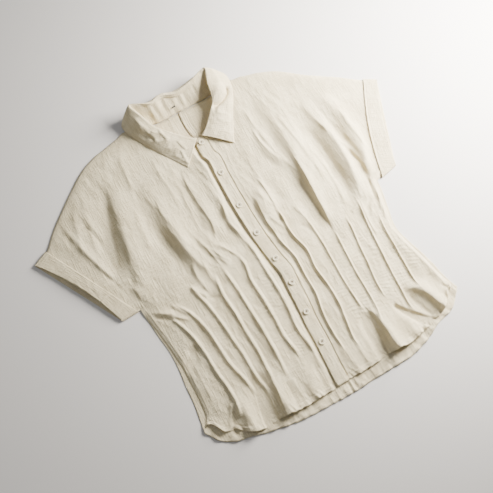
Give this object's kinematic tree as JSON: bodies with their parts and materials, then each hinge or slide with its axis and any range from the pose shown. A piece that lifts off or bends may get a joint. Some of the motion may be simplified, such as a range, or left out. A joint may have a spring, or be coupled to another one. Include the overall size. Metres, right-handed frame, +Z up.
{
  "type": "short-sleeved blouse laid flat",
  "caption": "Short-sleeved linen blouse with a turned-down collar, buttoned front, sewn waist tucks and turn-up cuffs, laid flat on its back.",
  "frame": {"origin": "middle of the whole blouse's footprint, on the surface that it lies on", "axes": "+Z up off the surface, +Y from the hem to the collar, +X towards the wearer's left sleeve"},
  "size_m": [0.758, 0.6904, 0.0378],
  "materials": {
    "linen": "washed plain-weave linen, undyed off-white, matte",
    "shell_button": "pearly off-white, soft gloss"
  },
  "bodies": {
    "root": {"back": "linen", "front_right": "linen", "front_left": "linen", "cuff_right": "linen", "cuff_left": "linen", "button_band": "linen", "collar_stand": "linen", "collar": "linen", "button_1": "shell_button", "button_2": "shell_button", "button_3": "shell_button", "button_4": "shell_button", "button_5": "shell_button", "button_6": "shell_button", "button_7": "shell_button", "button_8": "shell_button"}
  },
  "joints": []
}
